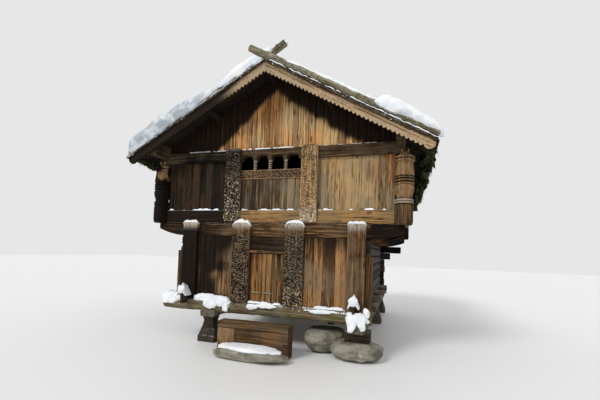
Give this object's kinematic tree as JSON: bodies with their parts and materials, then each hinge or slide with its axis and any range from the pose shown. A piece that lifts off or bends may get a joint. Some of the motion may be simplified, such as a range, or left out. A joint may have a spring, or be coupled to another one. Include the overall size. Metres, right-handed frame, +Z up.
{
  "type": "raised_granary",
  "caption": "Raised timber granary on legs and stones, with a log store room, a wider boarded upper storey, turned corner columns and a turf roof",
  "frame": {"origin": "centre of the bounding box on the ground under the feet", "axes": "+X to the right seen from the front, +Y to the rear, +Z up"},
  "size_m": [7.4894, 8.503, 7.0573],
  "materials": {
    "old_boards": "matte",
    "door_boards": "matte",
    "log_wood": "matte",
    "grey_timber": "matte",
    "floor_boards": "matte",
    "carved_wood": "matte",
    "barge_wood": "matte",
    "mossy_poles": "matte",
    "birch_bark": "matte",
    "turf": "matte",
    "field_stone": "matte",
    "wrought_iron": "matte"
  },
  "bodies": {
    "building": {"front_boards": "old_boards", "corner_boards": "old_boards", "upper_wall_front_left": "old_boards", "upper_wall_front_right": "old_boards", "upper_wall_left": "old_boards", "upper_wall_right": "old_boards", "upper_wall_rear": "old_boards", "gable_front": "old_boards", "gable_rear": "old_boards", "door_lintel": "old_boards", "arcade_panel": "old_boards", "arcade_jambs": "old_boards", "balusters": "old_boards", "side_wall_left": "log_wood", "side_wall_right": "log_wood", "rear_wall": "log_wood", "front_wall": "log_wood", "front_wall_over_door": "log_wood", "jetty_beams": "log_wood", "upper_rails": "log_wood", "end_plates": "log_wood", "side_plates": "log_wood", "purlins": "log_wood", "sills": "grey_timber", "foundation_beams": "grey_timber", "floor_joists": "grey_timber", "legs": "grey_timber", "doorstep_block": "grey_timber", "ground_floor": "floor_boards", "upper_floor": "floor_boards", "roof_boards_left": "floor_boards", "roof_boards_right": "floor_boards", "door_posts": "carved_wood", "corner_posts": "carved_wood", "pilasters": "carved_wood", "corner_columns": "carved_wood", "bargeboards_front": "barge_wood", "bargeboards_rear": "barge_wood", "rake_poles_left": "mossy_poles", "rake_poles_right": "mossy_poles", "eave_logs": "mossy_poles", "bark_left": "birch_bark", "bark_right": "birch_bark", "turf_left": "turf", "turf_right": "turf", "foundation_stones": "field_stone", "doorstep_stone": "field_stone", "door_pintles": "wrought_iron"},
    "door": {"door_leaf": "door_boards", "door_hinges": "wrought_iron"}
  },
  "joints": [
    {"name": "door_hinge", "type": "hinge", "parent": "building", "child": "door", "pos_m": [-0.44, -3.131, 1.6], "axis": [0, 0, 1], "range_deg": [0, 100]}
  ]
}
